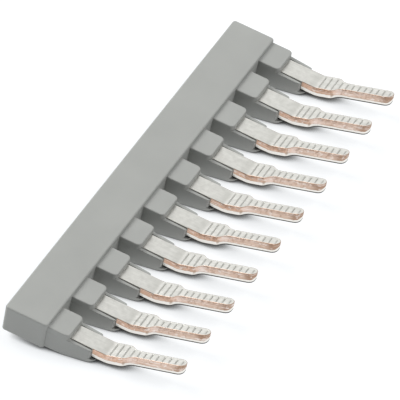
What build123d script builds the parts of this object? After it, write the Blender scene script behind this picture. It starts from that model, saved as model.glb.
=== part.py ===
from build123d import *
import os
from math import cos, radians, sin, tan

# A ten way plug-in bridge for terminal blocks: a moulded bar with ten teeth, and one
# stamped metal comb inside it whose prongs run out of the teeth. Sizes in mm, +Z up.
# It is drawn with the bar level, X from the back of the bar to the prong tips and Y
# along the bar, and is then tipped by rest_tilt, so that it stands on its teeth.

# Driving sizes of the row
pitch = 8.2                # centre to centre of two prongs
ways = 10                  # prongs in the row

# Driving sizes of the bar
bar_width = 7.7            # back face to front face
bar_height = 5.2
bar_margin = 0.45          # how far the bar runs on past the outermost tooth
bar_corner = 0.6           # plan radius of the four upright corners
bar_edge = 0.3             # rounding all round the top face, bevel round the bottom

# Driving sizes of one tooth
tooth_width = 5.35
cap_drop = 0.5             # top of the cap below the top of the bar
cap_reach = 3.8            # cap beyond the front face of the bar
cap_corner = 0.8           # plan radius of its two front corners
cap_edge = 0.2             # bevel round its top
taper_start = 8.8          # from the back of the bar to where the sides draw in
nose_width = 4.6           # tooth at the ends of the channel walls
wall_end = 15.5            # from the back of the bar to the ends of the channel walls
wall_corner = 0.4          # plan radius at the ends of the walls
wall_edge = 0.12           # bevel along the top of the walls
wall_fall = 0.2            # how much lower a wall is at its end than at the cap
lip_reach = 0.9            # floor of the channel beyond the walls
lip_corner = 1.0           # plan radius of the floor's two front corners
lip_thickness = 0.25       # floor of the channel at its front edge
foot_start = 10.9          # from the back of the bar to the sloping foot of the tooth
foot_length = 3.45         # the foot, along the bar's own X
foot_blend = 5.0           # radius between the level underside and the foot
side_blend = 20.0          # radius where the sides start to draw in
belly_edge = 0.2           # bevel along both sides of the underside
rest_tilt = 8.9            # degrees between the foot and the underside of the bar

# Driving sizes of the comb
metal_thickness = 2.0
metal_bottom = 1.62        # underside of the metal above the underside of the bar
rail_back = 2.8            # plastic behind the rail
rail_width = 3.4
prong_width = 3.5
pin_width = 1.8            # the narrow outer part of a prong
bend_start = 17.65         # from the back of the bar to the bend
bend_radius = 2.0          # inside of the bend
bend_angle = 19.2
shoulder_start = 20.5      # from the back of the bar to where the prong narrows
shoulder_length = 2.2
shoulder_turn = 0.4        # share of the shoulder that its outer curve takes
pin_end = 31.05            # from the back of the bar to the tip
pin_nose = 1.2             # length of the rounded nose in plan
pin_tip = 0.7              # plan radius at the very tip, under half the pin's width
pin_lead = 0.5             # rounding under the tip

# Driving sizes of the cross grooves on a prong
groove_count = 12
groove_step = 1.138        # along the sloping top
groove_first = 18.5        # from the back of the bar to the first groove
groove_width = 0.36
groove_depth = 0.15
groove_margin = 0.35       # plain metal left at each end of a groove

# Clearance
channel_clearance = 0.1    # between a prong and each wall of its channel

metal_top = metal_bottom + metal_thickness
cap_top = bar_height - cap_drop
cap_front = bar_width + cap_reach
lip_end = wall_end + lip_reach
foot_end = foot_start + foot_length
foot_rise = foot_length * tan(radians(rest_tilt))
row_length = (ways - 1) * pitch
bar_length = row_length + tooth_width + 2 * bar_margin
root = bar_width / 2       # where teeth and prongs start, inside the bar
slope = radians(bend_angle)
bend_out = bend_radius + metal_thickness
places = [Pos(0, (i - (ways - 1) / 2) * pitch, 0) for i in range(ways)]


def side_plate(outline, width):
    """A profile in X and Z, given a width along Y that is centred on Y = 0."""
    return extrude(Plane.XZ * outline, amount=width / 2, both=True)


def mirrored(line):
    """The face between a line in plan and its mirror image in Y."""
    return make_face(Curve() + line.edges() + mirror(line, Plane.XZ).edges())


def prong_bottom(x):
    """Height of the underside of a prong on its sloping part."""
    turn_x = bend_start + bend_out * sin(slope)
    turn_z = metal_bottom + bend_out * (1 - cos(slope))
    return turn_z + (x - turn_x) * tan(slope)


def prong_profile():
    """Side view of a prong: level, one bend up, a straight slope and an upright end."""
    rise = metal_thickness / cos(slope)
    bottom_turn = (bend_start + bend_out * sin(slope),
                   metal_bottom + bend_out * (1 - cos(slope)))
    top_turn = (bend_start + bend_radius * sin(slope),
                metal_top + bend_radius * (1 - cos(slope)))
    tip = (pin_end, prong_bottom(pin_end))
    lead = (pin_end - pin_lead, prong_bottom(pin_end - pin_lead))
    along = (cos(slope), sin(slope))
    outline = [
        Line((root, metal_bottom), (bend_start, metal_bottom)),
        TangentArc((bend_start, metal_bottom), bottom_turn, tangent=(1, 0)),
        Line(bottom_turn, lead),
        TangentArc(lead, (pin_end, tip[1] + pin_lead), tangent=along),
        Line((pin_end, tip[1] + pin_lead), (pin_end, tip[1] + rise)),
        Line((pin_end, tip[1] + rise), top_turn),
        TangentArc((bend_start, metal_top), top_turn, tangent=(1, 0)),
        Line((bend_start, metal_top), (root, metal_top)),
        Line((root, metal_top), (root, metal_bottom)),
    ]
    return make_face(Curve() + outline)


def prong_plan(inset=0.0):
    """Plan of a prong: wide, an S shaped shoulder each side, narrow, a rounded nose."""
    wide, narrow = prong_width / 2 - inset, pin_width / 2 - inset
    shoulder_end = shoulder_start + shoulder_length
    mid = (shoulder_start + shoulder_turn * shoulder_length,
           wide - shoulder_turn * (wide - narrow))
    start, tip = pin_end - pin_nose, pin_tip - inset
    nose = pin_nose - pin_tip  # from the start of the nose to the centre of the tip's arc
    flank = (nose ** 2 + narrow ** 2 - tip ** 2) / (2 * (narrow - tip))
    turn = (start + nose + tip * nose / (flank - tip), tip * (flank - narrow) / (flank - tip))
    line = Curve() + [
        Line((root, 0), (root, wide)),
        Line((root, wide), (shoulder_start, wide)),
        TangentArc((shoulder_start, wide), mid, tangent=(1, 0)),
        TangentArc((shoulder_end, narrow), mid, tangent=(-1, 0)),
        Line((shoulder_end, narrow), (start, narrow)),
        TangentArc((start, narrow), turn, tangent=(1, 0)),
        TangentArc((pin_end - inset, 0), turn, tangent=(0, 1)),
    ]
    return mirrored(line)


def groove_row():
    """V shaped bars that lie across the sloping top of a prong."""
    half, deep = groove_width / 2, groove_depth
    rise = metal_thickness / cos(slope)
    bars = []
    for i in range(groove_count):
        x = groove_first + i * groove_step * cos(slope)
        z = prong_bottom(x) + rise
        vee = Polygon((-half, 0), (0, -deep), (half, 0), (half, deep), (-half, deep),
                      align=None)
        vee = Pos(x, z) * Rot(0, 0, bend_angle) * vee
        bars.append(side_plate(vee, prong_width))
    return bars


def make_prong():
    """One prong from inside the bar to its tip."""
    body = side_plate(prong_profile(), prong_width)
    body &= extrude(prong_plan(), amount=2 * bar_height)
    inside = extrude(prong_plan(groove_margin), amount=2 * bar_height)
    return body - [bar & inside for bar in groove_row()]


def make_comb():
    """The stamped comb: a flat rail with all its prongs."""
    rail_length = row_length + prong_width
    rail = Pos(rail_back, -rail_length / 2, metal_bottom) * Box(
        rail_width, rail_length, metal_thickness, align=(Align.MIN, Align.MIN, Align.MIN))
    prong = make_prong()
    return rail + [place * prong for place in places]


def nose_plan(end, corner):
    """Plan of a tooth: parallel sides that draw in towards two rounded front corners."""
    wide, narrow = tooth_width / 2, nose_width / 2
    draw = (wide - narrow) / (wall_end - taper_start)
    narrow = wide - draw * (end - taper_start)
    outline = Polyline((root, wide), (taper_start, wide), (end, narrow), (end, -narrow),
                       (taper_start, -wide), (root, -wide), close=True)
    face = make_face(outline)
    face = fillet(face.vertices().group_by(Axis.X)[-1], corner)
    bends = face.vertices().filter_by(lambda v: abs(v.X - taper_start) < side_blend / 100)
    return fillet(bends, side_blend)


def tooth_profile():
    """Side view of a tooth's lower part, up to the underside of the metal."""
    front = metal_bottom - lip_thickness
    slide = radians(rest_tilt)
    outline = [
        Line((root, 0), (foot_start, 0)),
        Line((foot_start, 0), (foot_end, foot_rise)),
        TangentArc((foot_end, foot_rise), (lip_end, front), tangent=(cos(slide), sin(slide))),
        Line((lip_end, front), (lip_end, metal_bottom)),
        Line((lip_end, metal_bottom), (root, metal_bottom)),
        Line((root, metal_bottom), (root, 0)),
    ]
    face = make_face(Curve() + outline)
    heel = face.vertices().sort_by_distance((foot_start, 0, 0))[0]
    return fillet(heel, foot_blend)


def make_tooth():
    """One tooth of the moulding, solid: floor, walls and the cap over the prong's root."""
    floor = side_plate(tooth_profile(), tooth_width)
    floor &= extrude(nose_plan(lip_end, lip_corner), amount=bar_height)
    belly = floor.faces().filter_by(lambda f: f.normal_at().Z < -0.5).edges()
    floor = chamfer(belly.filter_by(lambda e: abs(e.center().Y) > nose_width / 4), belly_edge)

    wall_outline = Polygon((root, metal_bottom), (wall_end, metal_bottom),
                           (wall_end, metal_top - wall_fall), (cap_front, metal_top),
                           (root, metal_top), align=None)
    walls = side_plate(wall_outline, tooth_width)
    walls &= extrude(nose_plan(wall_end, wall_corner), amount=bar_height)
    rim = walls.faces().filter_by(lambda f: f.normal_at().Z > 0.9).edges()
    rim = rim.filter_by(lambda e: e.center().X > cap_front)
    walls = chamfer(rim.filter_by(lambda e: abs(e.center().Y) > prong_width / 2), wall_edge)

    cap_plan = Rectangle(cap_front - root, tooth_width, align=(Align.MIN, Align.CENTER))
    cap_plan = fillet(cap_plan.vertices().group_by(Axis.X)[-1], cap_corner)
    cap = Pos(root, 0, metal_bottom) * extrude(cap_plan, amount=cap_top - metal_bottom)
    crest = cap.faces().sort_by(Axis.Z)[-1].edges()
    cap = chamfer(crest.filter_by(lambda e: e.center().X > root + bar_edge), cap_edge)
    return floor + walls + cap


def make_housing():
    """The moulding: the bar, its teeth, the room for the comb and the open channels."""
    bar_plan = RectangleRounded(bar_width, bar_length, bar_corner)
    bar = Pos(bar_width / 2, 0, 0) * extrude(bar_plan, amount=bar_height)
    bar = fillet(bar.faces().sort_by(Axis.Z)[-1].edges(), bar_edge)
    bar = chamfer(bar.faces().sort_by(Axis.Z)[0].edges(), bar_edge)
    tooth = make_tooth()
    body = bar + [place * tooth for place in places]

    rail_length = row_length + prong_width
    low = (Align.MIN, Align.CENTER, Align.MIN)
    room = [Pos(rail_back, 0, metal_bottom) * Box(rail_width, rail_length, metal_thickness,
                                                  align=low)]
    slot = Box(bend_start - root, prong_width, metal_thickness, align=low)
    channel = Box(bend_start - cap_front, prong_width + 2 * channel_clearance,
                  metal_thickness, align=low)
    for place in places:
        room.append(place * Pos(root, 0, metal_bottom) * slot)
        room.append(place * Pos(cap_front, 0, metal_bottom) * channel)
    return body - room


def settle(shapes):
    """Tip the parts onto the feet of the teeth, centred over the middle of the floor."""
    tipped = [Rot(0, rest_tilt, 0) * shape for shape in shapes]
    box = Compound(children=[Compound(shape.wrapped) for shape in tipped]).bounding_box()
    drop = Pos(-box.center().X, -box.center().Y, -box.min.Z)
    return [drop * shape for shape in tipped]


housing, comb = settle([make_housing(), make_comb()])
os.makedirs("parts", exist_ok=True)
export_step(housing, "parts/insulating_housing.step")
export_step(comb, "parts/contact_comb.step")
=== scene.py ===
import math
import bmesh
import bpy
from mathutils import Matrix, Vector


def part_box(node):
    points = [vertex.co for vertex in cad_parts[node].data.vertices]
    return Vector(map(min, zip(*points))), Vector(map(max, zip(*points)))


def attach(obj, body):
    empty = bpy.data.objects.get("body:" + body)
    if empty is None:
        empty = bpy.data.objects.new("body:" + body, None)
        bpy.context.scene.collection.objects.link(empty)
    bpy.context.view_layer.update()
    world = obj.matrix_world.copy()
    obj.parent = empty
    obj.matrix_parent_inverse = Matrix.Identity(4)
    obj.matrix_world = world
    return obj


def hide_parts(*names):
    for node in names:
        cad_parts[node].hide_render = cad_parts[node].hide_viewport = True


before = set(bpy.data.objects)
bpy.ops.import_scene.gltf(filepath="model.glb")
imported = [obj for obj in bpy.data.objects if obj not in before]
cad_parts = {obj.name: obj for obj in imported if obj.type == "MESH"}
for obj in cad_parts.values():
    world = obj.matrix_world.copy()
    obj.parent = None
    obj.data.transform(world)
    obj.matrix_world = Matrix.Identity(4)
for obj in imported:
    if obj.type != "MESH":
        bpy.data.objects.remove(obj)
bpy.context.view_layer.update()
print("frame loaded:", sorted(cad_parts))

# Sizes are in mm, in the jumper's own level frame: x from the back of the bar to the
# tips of the prongs, y along the row, z up from the underside of the bar.
# toRest, further down, tips it onto its feet and brings it into the frame, in metres.
mm = 0.001
sharpAngle = math.radians(40)
row = {"ways": 10, "pitch": 8.2, "tilt": math.radians(8.9)}
places = [(i - (row["ways"] - 1) / 2) * row["pitch"] for i in range(row["ways"])]


def bendLine(x, base, radius, start, angle):
    # height of a line that runs level, turns up on an arc and goes on straight
    run = x - start
    if run <= 0:
        return base
    reach = radius * math.sin(angle)
    if run < reach:
        return base + radius - math.sqrt(radius ** 2 - run ** 2)
    return base + radius * (1 - math.cos(angle)) + (run - reach) * math.tan(angle)


def steps(count, start=0.0, end=1.0):
    return [start + (end - start) * i / count for i in range(count + 1)]


def smooth(value, low, high):
    t = min(1.0, max(0.0, (value - low) / (high - low)))
    return t * t * (3 - 2 * t)


def ringBody(rings):
    # closed body through rings of equally many points, with a flat face at each end
    body = bmesh.new()
    loops = [[body.verts.new(p) for p in ring] for ring in rings]
    for a, b in zip(loops, loops[1:]):
        for i in range(len(a)):
            j = (i + 1) % len(a)
            body.faces.new((a[i], a[j], b[j], b[i]))
    body.faces.new(loops[0])
    body.faces.new(loops[-1])
    bmesh.ops.remove_doubles(body, verts=body.verts, dist=0.0005)
    bmesh.ops.recalc_face_normals(body, faces=body.faces)
    return body


def gather(bodies, name):
    # several bmeshes as one mesh
    whole = bmesh.new()
    for body, shift in bodies:
        part = bpy.data.meshes.new("part")
        body.to_mesh(part)
        part.transform(Matrix.Translation(shift))
        whole.from_mesh(part)
        bpy.data.meshes.remove(part)
    mesh = bpy.data.meshes.new(name)
    whole.to_mesh(mesh)
    whole.free()
    return mesh


def addObject(mesh, name):
    made = bpy.data.objects.new(name, mesh)
    bpy.context.scene.collection.objects.link(made)
    return made


def finishPiece(piece, node):
    piece.data.transform(toRest)
    piece.data.shade_smooth()
    piece.data.set_sharp_from_angle(angle=sharpAngle)
    even = piece.modifiers.new("evenNormals", "WEIGHTED_NORMAL")
    even.keep_sharp = True
    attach(piece, "root")
    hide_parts(node)


# the comb: one stamping, a rail with ten prongs, each bent up once
comb = {
    "thickness": 2.0, "bottom": 1.62, "railBack": 2.8, "railWidth": 3.4,
    "width": 3.5, "pinWidth": 1.8, "bendStart": 17.65, "bendRadius": 2.0,
    "bendAngle": math.radians(19.2), "shoulderStart": 20.5, "shoulderLength": 2.2,
    "shoulderTurn": 0.4, "end": 31.05, "nose": 1.2, "tipRadius": 0.7, "tipLead": 0.5,
    "topEdge": 0.08, "dieRoll": 0.22,
    "grooves": 12, "grooveStep": 1.138, "grooveFirst": 18.5,
    "grooveWidth": 0.36, "grooveDepth": 0.07, "grooveLip": 0.01, "grooveMargin": 0.40,
    "columns": 16, "supportAt": 0.98, "columnsFrom": 0.87,
}
comb["top"] = comb["bottom"] + comb["thickness"]
grooveAt = [comb["grooveFirst"] + i * comb["grooveStep"] * math.cos(comb["bendAngle"])
            for i in range(comb["grooves"])]


def metalTop(x):
    return bendLine(x, comb["top"], comb["bendRadius"], comb["bendStart"], comb["bendAngle"])


def metalBottom(x):
    radius = comb["bendRadius"] + comb["thickness"]
    lift = 0.0
    lead = x - (comb["end"] - comb["tipLead"])
    if lead > 0:
        lift = comb["tipLead"] - math.sqrt(max(0.0, comb["tipLead"] ** 2 - lead ** 2))
    return lift + bendLine(x, comb["bottom"], radius, comb["bendStart"], comb["bendAngle"])


# the jumper stands on the feet of its teeth: the comb's highest edges fix the shift
turn = Matrix.Rotation(row["tilt"], 4, "Y")
tipEdge = turn @ Vector((comb["end"], 0, metalTop(comb["end"])))
railEdge = turn @ Vector((comb["railBack"], 0, comb["top"]))
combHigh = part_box("contact_comb")[1]
toRest = (Matrix.Translation((combHigh.x - tipEdge.x * mm, 0,
                              combHigh.z - max(tipEdge.z, railEdge.z) * mm))
          @ Matrix.Scale(mm, 4) @ turn)


def prongOutline():
    # half of the plan as (x, y, normal x, normal y), from the rail to the tip
    wide, narrow = comb["width"] / 2, comb["pinWidth"] / 2
    start = comb["railBack"] + comb["railWidth"]
    shoulder, length = comb["shoulderStart"], comb["shoulderLength"]
    shoulderEnd, noseStart = shoulder + length, comb["end"] - comb["nose"]

    def straight(x0, x1, y):
        stops = set(steps(max(1, round((x1 - x0) / 0.6)), x0, x1))
        stops.update(steps(14, comb["bendStart"], comb["bendStart"] + 1.4))
        for at in grooveAt:
            stops.update(at + comb["grooveWidth"] * k for k in steps(10, -0.75, 0.75))
        return [(x, y, 0.0, 1.0) for x in sorted(stops) if x0 <= x <= x1]

    line = straight(start, shoulder, wide)
    # two arcs make the S of the shoulder, the outer one shorter
    fall, share = wide - narrow, comb["shoulderTurn"]
    spread = (length ** 2 + fall ** 2) / (2 * fall)
    outer, inner = share * spread, (1 - share) * spread
    sweep = 2 * math.atan2(fall, length)
    for a in steps(12, 0, sweep)[1:]:
        line.append((shoulder + outer * math.sin(a), wide - outer * (1 - math.cos(a)),
                     math.sin(a), math.cos(a)))
    for a in steps(16, sweep, 0)[1:]:
        line.append((shoulderEnd - inner * math.sin(a), narrow + inner * (1 - math.cos(a)),
                     math.sin(a), math.cos(a)))
    line += straight(shoulderEnd, noseStart, narrow)[1:]
    # a flat flank and a tighter tip make the nose
    tip, reach = comb["tipRadius"], comb["nose"] - comb["tipRadius"]
    flank = (reach ** 2 + narrow ** 2 - tip ** 2) / (2 * (narrow - tip))
    sweep = math.atan2(reach, flank - narrow)
    for a in steps(6, 0, sweep)[1:]:
        line.append((noseStart + flank * math.sin(a), narrow - flank * (1 - math.cos(a)),
                     math.sin(a), math.cos(a)))
    for a in steps(8, sweep, math.pi / 2)[1:]:
        line.append((noseStart + reach + tip * math.sin(a), tip * math.cos(a),
                     math.sin(a), math.cos(a)))
    return line


def grooveDrop(x, edgeRoom):
    # a pressed groove, with a low lip along both of its sides
    drop = 0.0
    for at in grooveAt:
        away = abs(x - at) / (comb["grooveWidth"] / 2)
        if away < 1:
            drop -= comb["grooveDepth"] * (1 - smooth(away, 0.1, 1.0))
        if away < 1.5:
            drop += comb["grooveLip"] * smooth(away, 0.5, 1.0) * (1 - smooth(away, 1.0, 1.5))
    return drop * smooth(edgeRoom, 0.0, comb["grooveMargin"])


def buildProng():
    # vertices, faces with their material, and for each vertex its place on the prong
    outline = prongOutline()
    verts, where, pressed, faces = [], [], [], []

    def addRow(line, inset, height, share):
        made = []
        for x, y, nx, ny in line:
            px, py = x - inset * nx, y - inset * ny
            made.append(len(verts))
            verts.append((px, py, height(px)))
            where.append((px, py, share))
            pressed.append(0.0)
        return made

    # out along +y, round the tip and back along -y; the punch came from above, so that the
    # lower edge is the one drawn round
    roll, sharp = comb["dieRoll"], comb["topEdge"]
    loop = outline + [(x, -y, nx, -ny) for x, y, nx, ny in reversed(outline)][1:]
    rings = []
    for a in steps(2, 0, math.pi / 2):
        rings.append(addRow(loop, sharp * (1 - math.sin(a)),
                            lambda x, a=a: metalTop(x) - sharp * (1 - math.cos(a)),
                            a * 0.1 - 0.157))
    for a in steps(4, 0, math.pi / 2):
        rings.append(addRow(loop, roll * (1 - math.cos(a)),
                            lambda x, a=a: metalBottom(x) + roll * (1 - math.sin(a)),
                            1.0 + a * 0.2))
    for a, b in zip(rings, rings[1:]):
        for i in range(len(loop) - 1):
            faces.append(((a[i], b[i], b[i + 1], a[i + 1]), 1))

    # top and underside: straight rows between the two halves of the innermost rings, with
    # a column close to each side that keeps the shading flat up to the edge
    count, support, inner = len(outline), comb["supportAt"], comb["columnsFrom"]
    shares = [1, support] + steps(comb["columns"] - 4, inner, -inner) + [-support, -1]
    columns = len(shares) - 1
    for ring, isTop in ((rings[0], True), (rings[-1], False)):
        lines = []
        for i in range(count):
            left, right = ring[i], ring[len(loop) - 1 - i]
            if left == right:
                lines.append([left] * (columns + 1))
                continue
            (x, y, z), made = verts[left], [left]
            for c in shares[1:-1]:
                drop = grooveDrop(x, y - abs(c * y)) if isTop else 0.0
                made.append(len(verts))
                verts.append((x, c * y, z + drop))
                where.append((x, c * y, 0.0 if isTop else 1.3))
                pressed.append(max(0.0, -drop / comb["grooveDepth"]))
            lines.append(made + [right])
        for a, b in zip(lines, lines[1:]):
            for c in range(columns):
                quad = (a[c], b[c], b[c + 1], a[c + 1])
                quad = quad if not isTop else quad[::-1]
                corners = tuple(dict.fromkeys(quad))
                if len(corners) > 2:
                    faces.append((corners, 0))
    # the root end, against the rail
    end = [rings[k][0] for k in range(len(rings))] + \
          [rings[k][-1] for k in reversed(range(len(rings)))]
    faces.append((tuple(end), 0))
    return verts, where, pressed, faces


def buildComb():
    verts, where, pressed, faces = buildProng()
    allVerts, allWhere, allPressed, allFaces, kinds = [], [], [], [], []
    for n, y in enumerate(places):
        first = len(allVerts)
        allVerts += [(a, b + y, c) for a, b, c in verts]
        allWhere += [(a, b + 20.0 * n, c) for a, b, c in where]   # no two prongs marked alike
        allPressed += pressed
        allFaces += [tuple(first + i for i in face) for face, kind in faces]
        kinds += [kind for face, kind in faces]
    # the rail that joins the prongs inside the bar
    half = (row["ways"] - 1) * row["pitch"] / 2 + comb["width"] / 2
    back, front = comb["railBack"], comb["railBack"] + comb["railWidth"]
    first, e = len(allVerts), comb["dieRoll"]
    levels = [(e, comb["bottom"]), (0, comb["bottom"] + e), (0, comb["top"] - e), (e, comb["top"])]
    for inset, z in levels:
        for x, y in ((back + inset, -half + inset), (front, -half + inset),
                     (front, half - inset), (back + inset, half - inset)):
            allVerts.append((x, y, z))
            allWhere.append((x, y, 0.0))
            allPressed.append(0.0)
    for k in range(len(levels) - 1):
        for i in range(4):
            j = (i + 1) % 4
            allFaces.append((first + 4 * k + i, first + 4 * k + j,
                             first + 4 * k + 4 + j, first + 4 * k + 4 + i))
            kinds.append(0)
    allFaces += [(first + 3, first + 2, first + 1, first), tuple(range(first + 12, first + 16))]
    kinds += [0, 0]
    mesh = bpy.data.meshes.new("contactComb")
    mesh.from_pydata(allVerts, [], allFaces)
    mesh.polygons.foreach_set("material_index", kinds)
    spot = mesh.attributes.new("combPlace", "FLOAT_VECTOR", "POINT")
    spot.data.foreach_set("vector", [v for p in allWhere for v in p])
    # how deep each point lies in a groove; the tin paints shade into the grooves by it
    grooves = mesh.attributes.new("pressed", "FLOAT", "POINT")
    grooves.data.foreach_set("value", allPressed)
    mesh.validate()
    tidy = bmesh.new()
    tidy.from_mesh(mesh)
    bmesh.ops.recalc_face_normals(tidy, faces=tidy.faces)
    tidy.to_mesh(mesh)
    tidy.free()
    return addObject(mesh, "contactComb")


# the housing: a bar with ten teeth, each with a cap and an open channel
bar = {"width": 7.7, "height": 5.2, "margin": 0.45, "corner": 0.6, "edge": 0.3}
tooth = {
    "width": 5.35, "capDrop": 0.5, "capReach": 3.8, "capCorner": 0.8,
    "capEdge": 0.2, "taperStart": 8.8, "noseWidth": 4.6, "wallEnd": 15.5, "wallCorner": 0.4,
    "wallEdge": 0.07, "wallFall": 0.2, "lipReach": 0.9, "lipCorner": 1.0, "lipThickness": 0.25,
    "footStart": 10.9, "footLength": 3.45, "heelRadius": 5.0, "sideRadius": 20.0,
    "bellyEdge": 0.45, "gap": 0.1,
}
tooth["root"] = bar["width"] / 2
tooth["capFront"] = bar["width"] + tooth["capReach"]
tooth["lipEnd"] = tooth["wallEnd"] + tooth["lipReach"]


def roundedPlan(x0, x1, half, radius, inset, backRound=True):
    # a rectangle in plan, with two or four rounded corners, drawn in by inset
    x0, x1, half = x0 + (inset if backRound else 0), x1 - inset, half - inset
    radius = max(0.02, radius - inset)
    points = []
    corners = [(x1, half, 0), (x0, half, 90), (x0, -half, 180), (x1, -half, 270)]
    for x, y, a0 in corners:
        r = radius if backRound or a0 in (0, 270) else 0.02
        cx = x - r if a0 in (0, 270) else x + r
        cy = y - r if y > 0 else y + r
        for a in steps(6, a0, a0 + 90):
            points.append((cx + r * math.cos(math.radians(a)), cy + r * math.sin(math.radians(a))))
    return points


def buildBar():
    half = (row["ways"] - 1) * row["pitch"] / 2 + tooth["width"] / 2 + bar["margin"]
    e, top = bar["edge"], bar["height"]
    levels = [(e * (1 - math.sin(a)), e * (1 - math.cos(a))) for a in steps(5, 0, math.pi / 2)]
    rings = []
    for inset, z in levels + [(i, top - z) for i, z in reversed(levels)]:
        plan = roundedPlan(0, bar["width"], half, bar["corner"], inset)
        rings.append([(x, y, z) for x, y in plan])
    return ringBody(rings)


def toothHalf(x):
    # half width of a tooth: parallel, then drawn in
    wide, narrow = tooth["width"] / 2, tooth["noseWidth"] / 2
    draw = (wide - narrow) / (tooth["wallEnd"] - tooth["taperStart"])
    soft = tooth["sideRadius"] * draw / 2
    away = x - tooth["taperStart"]
    if away <= -soft:
        return wide
    if away < soft:
        return wide - (away + soft) ** 2 / (2 * tooth["sideRadius"])
    return wide - draw * away


def underside(x):
    # level, a soft heel, the foot, and an arc up to the lip
    angle, start = row["tilt"], tooth["footStart"]
    footEnd = start + tooth["footLength"]
    soft = tooth["heelRadius"] * math.tan(angle / 2)
    if x <= start - soft:
        return 0.0
    if x < start + soft * math.cos(angle):
        away = x - (start - soft)
        return tooth["heelRadius"] - math.sqrt(tooth["heelRadius"] ** 2 - away ** 2)
    if x <= footEnd:
        return (x - start) * math.tan(angle)
    rise = tooth["footLength"] * math.tan(angle)
    front = comb["bottom"] - tooth["lipThickness"]
    dx, dz = tooth["lipEnd"] - footEnd, front - rise
    radius = math.hypot(dx, dz) / (2 * math.sin(math.atan2(dz, dx) - angle))
    cx, cz = footEnd - radius * math.sin(angle), rise + radius * math.cos(angle)
    return cz - math.sqrt(radius ** 2 - (x - cx) ** 2)


def cornered(x, end, radius):
    # how far a rounded plan corner draws the side in near the end
    away = x - (end - radius)
    return 0.0 if away <= 0 else radius - math.sqrt(max(0.0, radius ** 2 - away ** 2))


def buildFloor():
    # the closed underside of a tooth, up to the metal
    start, soft = tooth["footStart"], tooth["heelRadius"] * math.tan(row["tilt"] / 2)
    footEnd, lip = start + tooth["footLength"], tooth["lipEnd"]
    stops = [tooth["root"]] + steps(4, 8.2, 9.4) + steps(6, start - soft, start + soft)
    stops += [12.6] + steps(8, footEnd, lip - tooth["lipCorner"])
    stops += [lip - tooth["lipCorner"] * (1 - math.sin(a)) for a in steps(10, 0, math.pi / 2)[1:]]
    rings = []
    for x in stops:
        half = toothHalf(x) - cornered(x, lip, tooth["lipCorner"])
        low, high = underside(x), comb["bottom"]
        e = min(tooth["bellyEdge"], (high - low) * 0.8)
        side = [(half, high)] + [(half - e * (1 - math.cos(a)), low + e * (1 - math.sin(a)))
                                 for a in steps(4, 0, math.pi / 2)]
        ring = side + [(-y, z) for y, z in reversed(side)]
        rings.append([(x, y, z) for y, z in ring])
    return ringBody(rings)


def buildWall(sign):
    # one wall of the channel, with a softened top
    inner, sunk = comb["width"] / 2 + tooth["gap"], comb["bottom"]
    end, e = tooth["wallEnd"], tooth["wallEdge"]
    stops = [tooth["root"]] + steps(4, 8.2, 9.4) + [tooth["capFront"], 13.0, 14.4]
    stops += [end - tooth["wallCorner"] * (1 - math.sin(a)) for a in steps(7, 0, math.pi / 2)]
    rings = []
    for x in stops:
        outer = toothHalf(x) - cornered(x, end, tooth["wallCorner"])
        fall = max(0.0, x - tooth["capFront"]) / (end - tooth["capFront"]) * tooth["wallFall"]
        top = comb["top"] - fall
        soft = min(e, (outer - inner) / 2 * 0.95)
        face = inner if x >= tooth["capFront"] else comb["width"] / 2
        ring = [(face, sunk), (outer, sunk)]
        ring += [(outer - soft * (1 - math.cos(a)), top - soft * (1 - math.sin(a)))
                 for a in steps(3, 0, math.pi / 2)]
        ring += [(face + soft * (1 - math.sin(a)), top - soft * (1 - math.cos(a)))
                 for a in steps(3, 0, math.pi / 2)]
        if sign < 0:
            ring = ring[::-1]
        rings.append([(x, sign * y, z) for y, z in ring])
    return ringBody(rings)


def buildCap():
    top, e = bar["height"] - tooth["capDrop"], tooth["capEdge"]
    levels = [(0, comb["top"])] + [(e * (1 - math.cos(a)), top - e * (1 - math.sin(a)))
                                   for a in steps(4, 0, math.pi / 2)]
    return ringBody([[(x, y, z) for x, y in roundedPlan(
        tooth["root"], tooth["capFront"], tooth["width"] / 2, tooth["capCorner"], inset,
        backRound=False)] for inset, z in levels])


def buildHousing():
    # bar and teeth are made one skin, so that no face is left inside
    shapes = [buildFloor(), buildWall(1), buildWall(-1), buildCap()]
    teeth = addObject(gather([(shape, (0, y, 0)) for y in places for shape in shapes], "teeth"),
                      "teeth")
    rough = addObject(gather([(buildBar(), (0, 0, 0))], "bar"), "bar")
    join = rough.modifiers.new("join", "BOOLEAN")
    join.operation = "UNION"
    join.solver = "EXACT"
    join.use_self = True
    join.object = teeth
    bpy.context.view_layer.update()
    joined = bpy.data.meshes.new_from_object(
        rough.evaluated_get(bpy.context.evaluated_depsgraph_get()))
    bpy.data.objects.remove(rough)
    bpy.data.objects.remove(teeth)
    return addObject(joined, "insulatingHousing")


def addNode(tree, kind, x, y, **settings):
    made = tree.nodes.new(kind)
    made.location = (x, y)
    for key, value in settings.items():
        setattr(made, key, value)
    return made


def startMaterial(name):
    made = bpy.data.materials.new(name)
    made.use_nodes = True
    tree = made.node_tree
    return made, tree, tree.nodes["Principled BSDF"]


def setRamp(ramp, stops):
    band = ramp.color_ramp
    while len(band.elements) < len(stops):
        band.elements.new(0.5)
    for element, (at, colour) in zip(band.elements, stops):
        element.position = at
        element.color = (*colour, 1)


# noise scales are per metre for the plastic, bump depths are in metres
plastic = {"light": (0.388, 0.392, 0.372), "dark": (0.360, 0.364, 0.346),
           "roughness": (0.42, 0.54), "grain": 0.000010, "cloudScale": 140, "grainScale": 5200}


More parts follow.
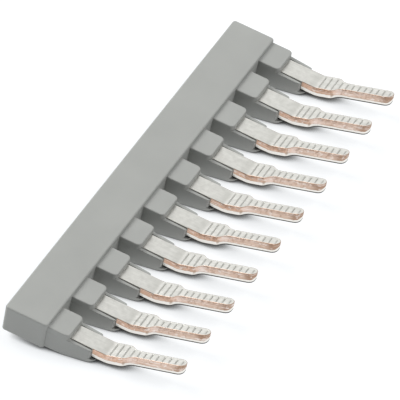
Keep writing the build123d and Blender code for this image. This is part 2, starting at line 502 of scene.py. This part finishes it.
def makePlastic():
    made, tree, shader = startMaterial("greyPolyamide")
    link = tree.links.new
    coords = addNode(tree, "ShaderNodeTexCoord", -1100, 0)
    cloud = addNode(tree, "ShaderNodeTexNoise", -850, 200)
    cloud.inputs["Scale"].default_value = plastic["cloudScale"]
    cloud.inputs["Detail"].default_value = 4
    ramp = addNode(tree, "ShaderNodeValToRGB", -600, 200)
    setRamp(ramp, [(0.3, plastic["dark"]), (0.7, plastic["light"])])
    grain = addNode(tree, "ShaderNodeTexNoise", -850, -150)
    grain.inputs["Scale"].default_value = plastic["grainScale"]
    grain.inputs["Detail"].default_value = 3
    rough = addNode(tree, "ShaderNodeMapRange", -350, -50)
    rough.inputs["To Min"].default_value = plastic["roughness"][0]
    rough.inputs["To Max"].default_value = plastic["roughness"][1]
    bump = addNode(tree, "ShaderNodeBump", -350, -300)
    bump.inputs["Strength"].default_value = 0.5
    bump.inputs["Distance"].default_value = plastic["grain"]
    for texture in (cloud, grain):
        link(coords.outputs["Object"], texture.inputs["Vector"])
    link(cloud.outputs["Fac"], ramp.inputs["Fac"])
    link(ramp.outputs["Color"], shader.inputs["Base Color"])
    link(cloud.outputs["Fac"], rough.inputs["Value"])
    link(rough.outputs["Result"], shader.inputs["Roughness"])
    link(grain.outputs["Fac"], bump.inputs["Height"])
    link(bump.outputs["Normal"], shader.inputs["Normal"])
    return made


tin = {"light": (0.67, 0.66, 0.622), "dark": (0.535, 0.527, 0.492), "groove": (0.39, 0.38, 0.35),
       "bend": (0.44, 0.43, 0.395), "bendFrom": 15.8, "bendTo": 17.6, "bendShare": 0.3,
       "roughness": (0.26, 0.40), "brush": 0.000006, "brushStretch": (0.35, 6.0, 0.0),
       "cloudScale": 1.1, "cloudShare": 0.6}


def makeTin():
    made, tree, shader = startMaterial("tinPlate")
    link = tree.links.new
    spot = addNode(tree, "ShaderNodeAttribute", -1600, 0, attribute_name="combPlace")
    groove = addNode(tree, "ShaderNodeAttribute", -800, 450, attribute_name="pressed")
    along = addNode(tree, "ShaderNodeMapping", -1400, 200)
    along.inputs["Scale"].default_value = tin["brushStretch"]
    brush = addNode(tree, "ShaderNodeTexNoise", -1200, 200)
    brush.inputs["Scale"].default_value = 1.0
    brush.inputs["Detail"].default_value = 6
    cloud = addNode(tree, "ShaderNodeTexNoise", -1200, -100)
    cloud.inputs["Scale"].default_value = tin["cloudScale"]
    cloud.inputs["Detail"].default_value = 5
    both = addNode(tree, "ShaderNodeMix", -1000, 100, data_type="FLOAT")
    both.inputs["Factor"].default_value = tin["cloudShare"]
    ramp = addNode(tree, "ShaderNodeValToRGB", -800, 200)
    setRamp(ramp, [(0.35, tin["dark"]), (0.65, tin["light"])])
    # dim paints shade into the grooves: the deeper a point lies in a groove, the more it takes of
    # the darker groove colour
    dim = addNode(tree, "ShaderNodeMix", -400, 200, data_type="RGBA")
    dim.inputs["B"].default_value = (*tin["groove"], 1)
    rough = addNode(tree, "ShaderNodeMapRange", -400, -50)
    rough.inputs["To Min"].default_value = tin["roughness"][0]
    rough.inputs["To Max"].default_value = tin["roughness"][1]
    bump = addNode(tree, "ShaderNodeBump", -400, -300)
    bump.inputs["Strength"].default_value = 0.5
    bump.inputs["Distance"].default_value = tin["brush"]
    shader.inputs["Metallic"].default_value = 1.0
    link(spot.outputs["Vector"], along.inputs["Vector"])
    link(along.outputs["Vector"], brush.inputs["Vector"])
    link(spot.outputs["Vector"], cloud.inputs["Vector"])
    link(brush.outputs["Fac"], both.inputs["A"])
    link(cloud.outputs["Fac"], both.inputs["B"])
    link(both.outputs["Result"], ramp.inputs["Fac"])
    # the metal turns darker towards the start of the bend and back to its own tone just after it
    split = addNode(tree, "ShaderNodeSeparateXYZ", -1400, -400)
    bend = addNode(tree, "ShaderNodeMapRange", -1200, -400, interpolation_type="SMOOTHSTEP")
    bend.inputs["From Min"].default_value = tin["bendFrom"]
    bend.inputs["From Max"].default_value = tin["bendTo"]
    bend.inputs["To Max"].default_value = tin["bendShare"]
    level = addNode(tree, "ShaderNodeMapRange", -1200, -650, interpolation_type="SMOOTHSTEP")
    level.inputs["From Min"].default_value = tin["bendTo"] + 0.5
    level.inputs["From Max"].default_value = tin["bendTo"]
    towardBend = addNode(tree, "ShaderNodeMath", -1000, -450, operation="MULTIPLY")
    bent = addNode(tree, "ShaderNodeMix", -600, 200, data_type="RGBA")
    bent.inputs["B"].default_value = (*tin["bend"], 1)
    link(spot.outputs["Vector"], split.inputs["Vector"])
    link(split.outputs["X"], bend.inputs["Value"])
    link(split.outputs["X"], level.inputs["Value"])
    link(bend.outputs["Result"], towardBend.inputs[0])
    link(level.outputs["Result"], towardBend.inputs[1])
    link(towardBend.outputs["Value"], bent.inputs["Factor"])
    link(ramp.outputs["Color"], bent.inputs["A"])
    link(bent.outputs["Result"], dim.inputs["A"])
    link(groove.outputs["Fac"], dim.inputs["Factor"])
    link(dim.outputs["Result"], shader.inputs["Base Color"])
    link(cloud.outputs["Fac"], rough.inputs["Value"])
    link(rough.outputs["Result"], shader.inputs["Roughness"])
    link(brush.outputs["Fac"], bump.inputs["Height"])
    link(bump.outputs["Normal"], shader.inputs["Normal"])
    return made


# the copper's colours below are at distances from the back of the bar, in mm; the pale
# tone at 21.9 is a painted highlight on the S of the shoulder
sheared = {
    "lengthTonesAndHighlight": [(14.0, (0.72, 0.47, 0.34)), (20.8, (0.70, 0.465, 0.345)),
                    (21.9, (0.82, 0.66, 0.58)), (23.0, (0.76, 0.575, 0.475)),
                    (28.8, (0.68, 0.51, 0.41)), (30.0, (0.40, 0.26, 0.185))],
    "pale": (0.93, 0.83, 0.77), "dark": (0.46, 0.30, 0.22), "tin": (0.90, 0.87, 0.82),
    # the near-black colour of the rounded lower edge is painted shade; the grey colour for the
    # channel is painted shade where the side stands in the channel gap
    "rolledEdgeShade": (0.05, 0.047, 0.043), "tornLine": (0.38, 0.25, 0.18), "mark": (0.40, 0.28, 0.20),
    "smear": (0.90, 0.82, 0.77), "streak": (0.45, 0.45, 7.0), "patchScale": 1.9,
    "smearStretch": (1.1, 1.1, 2.6), "wander": 0.14, "tear": 0.00002,
    "markPlace": (21.05, 0.58), "channel": (0.62, 0.60, 0.56), "channelEnd": 15.5,
    "tinFrom": 0.56, "pinShift": 0.14, "tipShift": 0.18, "rolledFrom": 0.90,
    "roughness": (0.32, 0.50),
}


def makeSheared():
    # the cut side of a prong: torn copper above, tin drawn down over the lower part and a
    # rounded lower edge painted dark as shade
    made, tree, shader = startMaterial("shearedCopper")
    link = tree.links.new
    spot = addNode(tree, "ShaderNodeAttribute", -2600, 0, attribute_name="combPlace")
    split = addNode(tree, "ShaderNodeSeparateXYZ", -2400, -300)
    link(spot.outputs["Vector"], split.inputs["Vector"])
    along, down = split.outputs["X"], split.outputs["Z"]

    def ramped(value, low, high, x, y, top=1.0):
        # smooth step from nothing at low to top at high
        step = addNode(tree, "ShaderNodeMapRange", x, y, interpolation_type="SMOOTHSTEP")
        step.inputs["From Min"].default_value = low
        step.inputs["From Max"].default_value = high
        step.inputs["To Max"].default_value = top
        link(value, step.inputs["Value"])
        return step.outputs["Result"]

    def blended(base, over, share, x, y):
        mix = addNode(tree, "ShaderNodeMix", x, y, data_type="RGBA")
        link(base, mix.inputs["A"])
        mix.inputs["B"].default_value = (*over, 1)
        link(share, mix.inputs["Factor"])
        return mix.outputs["Result"]

    # the copper's colour changes along the prong, with a painted highlight on the S of the
    # shoulder
    tones = sheared["lengthTonesAndHighlight"]
    first, last = tones[0][0], tones[-1][0]
    length = addNode(tree, "ShaderNodeMapRange", -2200, 600)
    length.inputs["From Min"].default_value = first
    length.inputs["From Max"].default_value = last
    ramp = addNode(tree, "ShaderNodeValToRGB", -2000, 600)
    setRamp(ramp, [((x - first) / (last - first), colour) for x, colour in tones])
    link(along, length.inputs["Value"])
    link(length.outputs["Result"], ramp.inputs["Fac"])

    # lengthwise streaks, and patches where the tear went deeper
    streak = addNode(tree, "ShaderNodeMapping", -2200, 300)
    streak.inputs["Scale"].default_value = sheared["streak"]
    marks = addNode(tree, "ShaderNodeTexNoise", -2000, 300)
    marks.inputs["Scale"].default_value = 1.0
    marks.inputs["Detail"].default_value = 6
    marks.inputs["Roughness"].default_value = 0.65
    link(spot.outputs["Vector"], streak.inputs["Vector"])
    link(streak.outputs["Vector"], marks.inputs["Vector"])
    patches = addNode(tree, "ShaderNodeTexNoise", -2000, 0)
    patches.inputs["Scale"].default_value = sheared["patchScale"]
    patches.inputs["Detail"].default_value = 4
    link(spot.outputs["Vector"], patches.inputs["Vector"])
    tone = blended(ramp.outputs["Color"], sheared["pale"],
                   ramped(marks.outputs["Fac"], 0.50, 0.66, -1700, 300, 0.7), -1500, 300)
    tone = blended(tone, sheared["dark"],
                   ramped(marks.outputs["Fac"], 0.48, 0.32, -1700, 100, 0.6), -1300, 300)
    tone = blended(tone, sheared["dark"],
                   ramped(patches.outputs["Fac"], 0.52, 0.68, -1700, -100, 0.6), -1100, 300)

    # pale smears of tin dragged over the copper
    smears = addNode(tree, "ShaderNodeTexNoise", -2000, -250)
    smears.inputs["Scale"].default_value = 1.0
    smears.inputs["Detail"].default_value = 3
    smearing = addNode(tree, "ShaderNodeMapping", -2200, -100)
    smearing.inputs["Location"].default_value = (7.0, 3.0, 2.0)
    smearing.inputs["Scale"].default_value = sheared["smearStretch"]
    link(spot.outputs["Vector"], smearing.inputs["Vector"])
    link(smearing.outputs["Vector"], smears.inputs["Vector"])
    tone = blended(tone, sheared["smear"],
                   ramped(smears.outputs["Fac"], 0.56, 0.66, -1700, -150, 0.65), -1000, 300)

    # the tin's upper limit wanders; it lies lower along the pin and higher at its tip
    lower = ramped(along, 20.8, 22.4, -1700, -300, sheared["pinShift"])
    wander = addNode(tree, "ShaderNodeMath", -1700, -500, operation="MULTIPLY_ADD")
    wander.inputs[1].default_value = sheared["wander"]
    link(patches.outputs["Fac"], wander.inputs[0])
    link(down, wander.inputs[2])
    place = addNode(tree, "ShaderNodeMath", -1500, -400, operation="SUBTRACT")
    front = addNode(tree, "ShaderNodeMath", -1400, -400, operation="ADD")
    link(wander.outputs["Value"], place.inputs[0])
    link(lower, place.inputs[1])
    link(place.outputs["Value"], front.inputs[0])
    link(ramped(along, 30.4, 31.0, -1700, -900, sheared["tipShift"]), front.inputs[1])
    limit = sheared["tinFrom"] + 0.07
    tone = blended(tone, sheared["tornLine"],
                   ramped(front.outputs["Value"], limit - 0.06, limit, -1300, -300, 0.45),
                   -900, 300)
    tone = blended(tone, sheared["tin"],
                   ramped(front.outputs["Value"], limit, limit + 0.05, -1300, -500), -700, 300)

    # a brown mark low on the side, just before the shoulder
    off = addNode(tree, "ShaderNodeVectorMath", -1300, -700, operation="DISTANCE")
    flat = addNode(tree, "ShaderNodeCombineXYZ", -1500, -700)
    off.inputs[1].default_value = (*sheared["markPlace"], 0.0)
    link(along, flat.inputs["X"])
    link(down, flat.inputs["Y"])
    link(flat.outputs["Vector"], off.inputs[0])
    tone = blended(tone, sheared["mark"],
                   ramped(off.outputs["Value"], 0.34, 0.08, -1100, -700, 0.7), -500, 300)

    # a thin torn line at the top, painted shade on the rounded edge below, and a flat grey
    # painted shade on the end that stands in the channel
    tone = blended(tone, sheared["tornLine"],
                   ramped(down, 0.03, -0.05, -900, -200, 0.75), -300, 300)
    start = sheared["rolledFrom"]
    tone = blended(tone, sheared["rolledEdgeShade"], ramped(down, start, start + 0.06, -700, -400),
                   -100, 300)
    end = sheared["channelEnd"]
    tone = blended(tone, sheared["channel"], ramped(along, end + 0.15, end, -500, -500), 100, 300)
    link(tone, shader.inputs["Base Color"])

    rough = addNode(tree, "ShaderNodeMapRange", -400, -800)
    rough.inputs["To Min"].default_value = sheared["roughness"][0]
    rough.inputs["To Max"].default_value = sheared["roughness"][1]
    link(marks.outputs["Fac"], rough.inputs["Value"])
    link(rough.outputs["Result"], shader.inputs["Roughness"])
    bump = addNode(tree, "ShaderNodeBump", -400, -1100)
    bump.inputs["Strength"].default_value = 0.6
    bump.inputs["Distance"].default_value = sheared["tear"]
    link(marks.outputs["Fac"], bump.inputs["Height"])
    link(bump.outputs["Normal"], shader.inputs["Normal"])
    shader.inputs["Metallic"].default_value = 1.0
    return made


contactComb = buildComb()
contactComb.data.materials.append(makeTin())
contactComb.data.materials.append(makeSheared())
finishPiece(contactComb, "contact_comb")
print("contact comb built:", len(contactComb.data.polygons), "faces")

housing = buildHousing()
housing.data.materials.append(makePlastic())
finishPiece(housing, "insulating_housing")
print("insulating housing built:", len(housing.data.polygons), "faces")

# the camera stands where the photograph was taken from; its aim is in the level frame
view = {"aim": (14.094, 1.46, 3.082), "azimuth": 27.36, "elevation": 41.28,
        "distance": 1435.2, "lens": 795.1}


def aimAt(thing, target):
    thing.rotation_euler = (thing.location - target).to_track_quat("Z", "Y").to_euler()


aim = toRest @ Vector(view["aim"])
az, el = math.radians(view["azimuth"]), math.radians(view["elevation"])
away = Vector((math.sin(az) * math.cos(el), -math.cos(az) * math.cos(el), math.sin(el)))
camera = bpy.data.objects.new("camera", bpy.data.cameras.new("camera"))
camera.location = aim + away * view["distance"] * mm
camera.data.lens = view["lens"]
camera.data.sensor_width = 36.0
camera.data.clip_end = 20.0
aimAt(camera, aim)
bpy.context.scene.collection.objects.link(camera)
bpy.context.scene.camera = camera

floorMesh = bpy.data.meshes.new("floor")
reach = 3.0   # half its width, in metres
floorMesh.from_pydata([(-reach, -reach, 0), (reach, -reach, 0), (reach, reach, 0),
                       (-reach, reach, 0)], [], [(0, 1, 2, 3)])
floor = addObject(floorMesh, "floor")
# a lit white table whose glow is painted light: it keeps the shadows of the lamps faint,
# and it fades where the jumper stands close above it, a painted contact shadow
table = {"colour": (0.30, 0.30, 0.30), "glow": (0.96, 0.98, 1.0), "strength": 0.76,
         "reach": 0.0022, "shade": (0.16, 0.70)}
paper, paperTree, paperShader = startMaterial("glowingWhitePaper")
paperShader.inputs["Base Color"].default_value = (*table["colour"], 1)
paperShader.inputs["Roughness"].default_value = 0.9
paperShader.inputs["Specular IOR Level"].default_value = 0.0
paperShader.inputs["Emission Color"].default_value = (*table["glow"], 1)
# painted contact shadow: the nearer something stands above the table, the less it glows
contactShadowMask = addNode(paperTree, "ShaderNodeAmbientOcclusion", -700, -200)
contactShadowMask.samples = 16
contactShadowMask.inputs["Distance"].default_value = table["reach"]
shade = addNode(paperTree, "ShaderNodeMapRange", -450, -200, interpolation_type="SMOOTHSTEP")
shade.inputs["From Min"].default_value, shade.inputs["From Max"].default_value = table["shade"]
shade.inputs["To Max"].default_value = table["strength"]
paperTree.links.new(contactShadowMask.outputs["AO"], shade.inputs["Value"])
paperTree.links.new(shade.outputs["Result"], paperShader.inputs["Emission Strength"])
floorMesh.materials.append(paper)

# lamps in metres and watts, all turned to the middle of the jumper
lights = {
    "left": {"place": (-0.98, 0.02, 1.0), "size": (0.9, 0.8), "power": 13.5},
    "right": {"place": (0.90, 0.40, 1.0), "size": (0.8, 0.8), "power": 9.4},
    "behind": {"place": (-0.58, 1.10, 0.96), "size": (2.6, 1.4), "power": 12.5},
}
for name, lamp in lights.items():
    data = bpy.data.lights.new(name, "AREA")
    data.shape = "RECTANGLE"
    data.size, data.size_y = lamp["size"]
    data.energy = lamp["power"]
    placed = bpy.data.objects.new(name, data)
    placed.location = lamp["place"]
    aimAt(placed, Vector((0, 0, 0)))
    bpy.context.scene.collection.objects.link(placed)

sky = {"colour": (0.9, 0.97, 1.0), "strength": 0.17}
world = bpy.data.worlds.new("studio")
world.use_nodes = True
world.node_tree.nodes["Background"].inputs["Color"].default_value = (*sky["colour"], 1)
world.node_tree.nodes["Background"].inputs["Strength"].default_value = sky["strength"]
bpy.context.scene.world = world
bpy.context.scene.view_settings.view_transform = "Standard"
print("camera, floor and light set")
